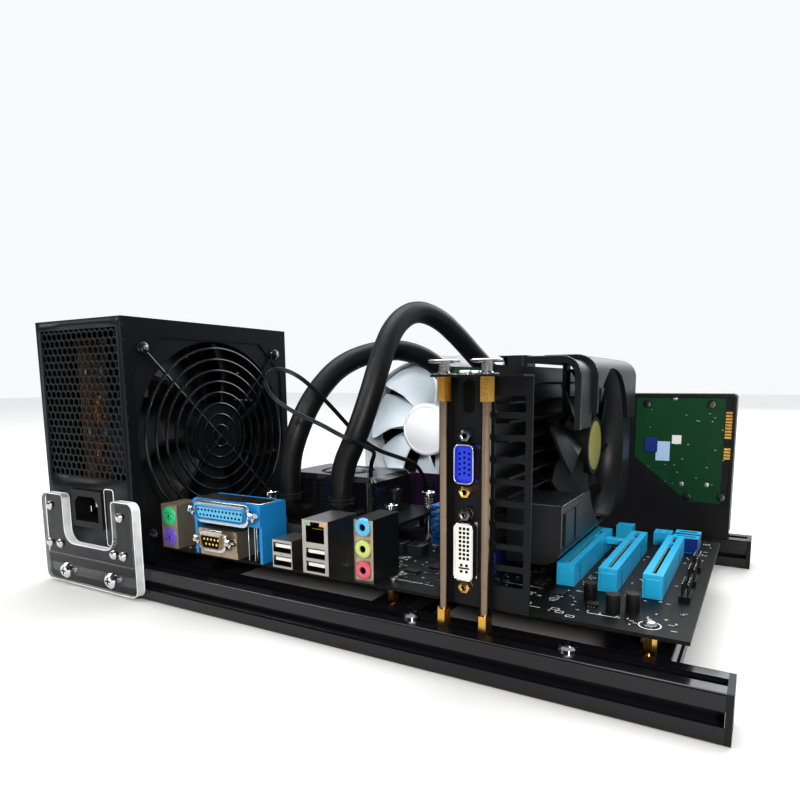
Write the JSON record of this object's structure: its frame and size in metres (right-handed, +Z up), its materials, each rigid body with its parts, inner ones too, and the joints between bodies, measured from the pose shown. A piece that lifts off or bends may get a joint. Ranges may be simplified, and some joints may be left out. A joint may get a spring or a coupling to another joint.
{
  "type": "open air test bench",
  "caption": "Open slotted-rail bench carrying a power supply, a main board with a liquid cooler, a graphics card on support rods and a drive on edge.",
  "frame": {"origin": "centre of the bounding box at the table", "axes": "+Z up, the ports and the clear plate face -Y, +X along the long rails"},
  "size_m": [0.415, 0.2768, 0.1837],
  "materials": {
    "black_rail": "satin black anodised",
    "black_plastic": "moulded",
    "bright_steel": "plated",
    "clear_acrylic": "polished clear sheet",
    "black_steel": "powder coat",
    "tan_board": "circuit board",
    "bare_aluminium": "bare",
    "black_board": "black solder mask",
    "brass": "turned",
    "violet_plastic": "moulded",
    "blue_plastic": "moulded",
    "tan_plastic": "plated shell",
    "port_steel": "plated shell",
    "cyan_plastic": "moulded",
    "purple_board": "circuit board",
    "blue_aluminium": "blue anodised",
    "dark_ferrite": "moulded core",
    "copper": "lapped",
    "gloss_black": "gloss",
    "hose_rubber": "matt",
    "black_aluminium": "painted black",
    "white_plastic": "moulded",
    "green_board": "green solder mask",
    "drive_cast": "dark casting"
  },
  "bodies": {
    "bench": {"rail_front": "black_rail", "rail_rear": "black_rail", "cross_rails": "black_rail", "end_caps": "black_plastic", "rail_screws": "bright_steel", "psu_plate": "clear_acrylic", "plate_rail_screws": "bright_steel", "small_screws": "bright_steel", "psu_base": "black_steel", "psu_cover": "black_steel", "psu_grille": "black_steel", "psu_fan_frame": "black_plastic", "psu_inlet": "black_plastic", "psu_board": "tan_board", "psu_heatsinks": "bare_aluminium", "motherboard": "black_board", "standoffs": "brass", "ps2_ports": "violet_plastic", "parallel_port": "blue_plastic", "serial_port": "tan_plastic", "usb_ports": "port_steel", "lan_usb_block": "port_steel", "audio_jacks": "black_plastic", "pci_slots": "cyan_plastic", "long_slot": "blue_plastic", "memory_slots": "blue_plastic", "memory_module": "purple_board", "chip_heatsink": "blue_aluminium", "chokes": "dark_ferrite", "capacitors": "bare_aluminium", "pin_headers": "black_plastic", "header_blocks": "cyan_plastic", "cpu_socket": "black_plastic", "cold_plate": "copper", "pump_housing": "gloss_black", "pump_bracket": "black_steel", "spring_screws": "bright_steel", "hose_fittings": "black_plastic", "hose_a": "hose_rubber", "hose_b": "hose_rubber", "pump_lead": "hose_rubber", "lead_plug": "black_plastic", "radiator_core": "black_aluminium", "radiator_tanks": "black_aluminium", "radiator_feet": "black_steel", "fan_frame": "white_plastic", "card_board": "green_board", "card_bracket": "black_steel", "card_vga": "blue_plastic", "card_dvi": "white_plastic", "rod_hexes": "brass", "card_rods": "bright_steel", "card_shroud": "black_plastic", "card_heatsink": "bare_aluminium", "drive_case": "drive_cast", "drive_board": "green_board"},
    "fan_rotor": {"fan_rotor": "white_plastic"},
    "psu_fan_rotor": {"psu_fan_rotor": "black_plastic"},
    "card_fan_rotor": {"card_fan_rotor": "black_plastic"}
  },
  "joints": [
    {"name": "fan_spin", "type": "hinge", "parent": "bench", "child": "fan_rotor", "pos_m": [-0.035, 0.09635, 0.0915], "axis": [0, -1, 0], "continuous": true},
    {"name": "psu_fan_spin", "type": "hinge", "parent": "bench", "child": "psu_fan_rotor", "pos_m": [-0.1304, -0.06065, 0.095], "axis": [1, 0, 0], "continuous": true},
    {"name": "card_fan_spin", "type": "hinge", "parent": "bench", "child": "card_fan_rotor", "pos_m": [0.11212, 0.00505, 0.0931], "axis": [1, 0, 0], "continuous": true}
  ]
}
